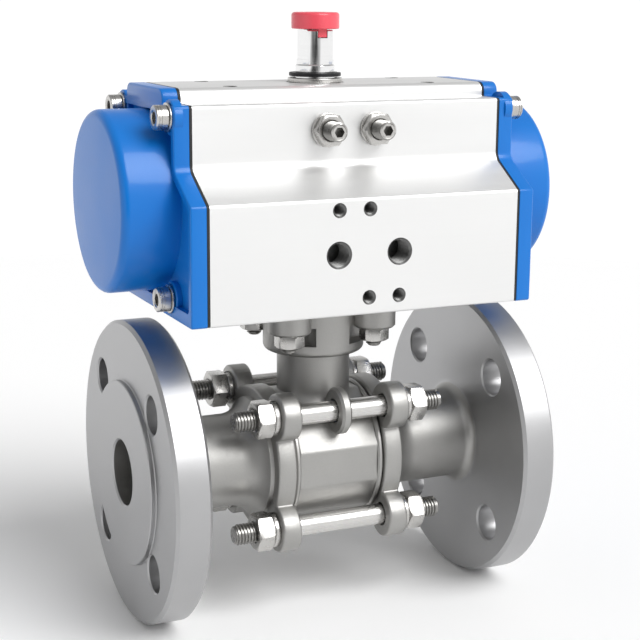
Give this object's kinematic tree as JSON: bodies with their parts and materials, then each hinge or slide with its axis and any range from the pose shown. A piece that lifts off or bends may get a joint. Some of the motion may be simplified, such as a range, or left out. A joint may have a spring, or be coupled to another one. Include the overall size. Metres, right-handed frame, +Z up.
{
  "type": "pneumatic actuated valve",
  "caption": "Flanged three-piece ball valve turned a quarter turn by a rack and pinion air actuator with blue end caps and a red position indicator.",
  "frame": {"origin": "under the stem axis, on the horizontal plane that both flange rims touch", "axes": "+X along the pipe, from the left flange to the right; -Y towards the side with the air ports; +Z up along the stem"},
  "size_m": [0.1724, 0.115, 0.2276],
  "materials": {
    "cast_steel": "bead-blasted investment casting",
    "polished_steel": "polished",
    "body_aluminium": "satin anodised extrusion",
    "cap_paint": "semi-gloss coating on cast aluminium",
    "steel": "turned and rolled stainless fasteners",
    "black_steel": "blackened spring steel",
    "rubber": "matt nitrile rubber",
    "ptfe": "white fluoropolymer",
    "acetal": "machined acetal",
    "indicator_red": "moulded red plastic"
  },
  "bodies": {
    "housing": {"actuator_body": "body_aluminium", "closing_stop_nut": "steel", "closing_stop_screw": "steel", "gland_ring": "steel", "left_body_seal": "ptfe", "left_cap_gasket": "rubber", "left_cap_screw_1": "steel", "left_cap_screw_2": "steel", "left_cap_screw_3": "steel", "left_cap_screw_4": "steel", "left_end_cap": "cap_paint", "left_end_piece": "cast_steel", "left_seat": "ptfe", "opening_stop_nut": "steel", "opening_stop_screw": "steel", "pad_stud_1": "steel", "pad_stud_2": "steel", "pad_stud_3": "steel", "pad_stud_4": "steel", "pinion_lower_bush": "acetal", "pinion_upper_bush": "acetal", "pinion_washer": "steel", "right_body_seal": "ptfe", "right_cap_gasket": "rubber", "right_cap_screw_1": "steel", "right_cap_screw_2": "steel", "right_cap_screw_3": "steel", "right_cap_screw_4": "steel", "right_end_cap": "cap_paint", "right_end_piece": "cast_steel", "right_seat": "ptfe", "stem_packing": "ptfe", "stem_thrust_washer": "ptfe", "tie_rod_1": "steel", "tie_rod_2": "steel", "tie_rod_3": "steel", "tie_rod_4": "steel", "tie_rod_nut_1": "steel", "tie_rod_nut_2": "steel", "tie_rod_nut_3": "steel", "tie_rod_nut_4": "steel", "valve_body": "cast_steel"},
    "pinion": {"pinion": "polished_steel", "pinion_circlip": "black_steel", "stop_cam": "steel", "position_indicator": "indicator_red", "indicator_screw": "steel"},
    "stem": {"stem": "polished_steel", "stem_nut": "steel", "disc_springs": "steel"},
    "ball": {"ball": "polished_steel"},
    "left_piston": {"left_piston": "body_aluminium", "left_piston_ring": "rubber", "left_guide_band": "acetal", "left_rack_guide": "acetal"},
    "right_piston": {"right_piston": "body_aluminium", "right_piston_ring": "rubber", "right_guide_band": "acetal", "right_rack_guide": "acetal"}
  },
  "joints": [
    {"name": "pinion_turn", "type": "hinge", "parent": "housing", "child": "pinion", "pos_m": [0, 0, 0.1605], "axis": [0, 0, 1], "range_deg": [0, 90]},
    {"name": "stem_turn", "type": "hinge", "parent": "housing", "child": "stem", "pos_m": [0, 0, 0.1], "axis": [0, 0, 1], "range_deg": [0, 90]},
    {"name": "ball_turn", "type": "hinge", "parent": "housing", "child": "ball", "pos_m": [0, 0, 0.0575], "axis": [0, 0, 1], "range_deg": [0, 90]},
    {"name": "left_piston_slide", "type": "slide", "parent": "housing", "child": "left_piston", "axis": [-1, 0, 0], "range_m": [0, 0.01885]},
    {"name": "right_piston_slide", "type": "slide", "parent": "housing", "child": "right_piston", "axis": [1, 0, 0], "range_m": [0, 0.01885]}
  ],
  "couplings": [
    {"joint": "right_piston_slide", "follows": "left_piston_slide", "ratio": 1},
    {"joint": "pinion_turn", "follows": "left_piston_slide", "rad_per_m": 83.333},
    {"joint": "stem_turn", "follows": "left_piston_slide", "rad_per_m": 83.333},
    {"joint": "ball_turn", "follows": "left_piston_slide", "rad_per_m": 83.333}
  ]
}
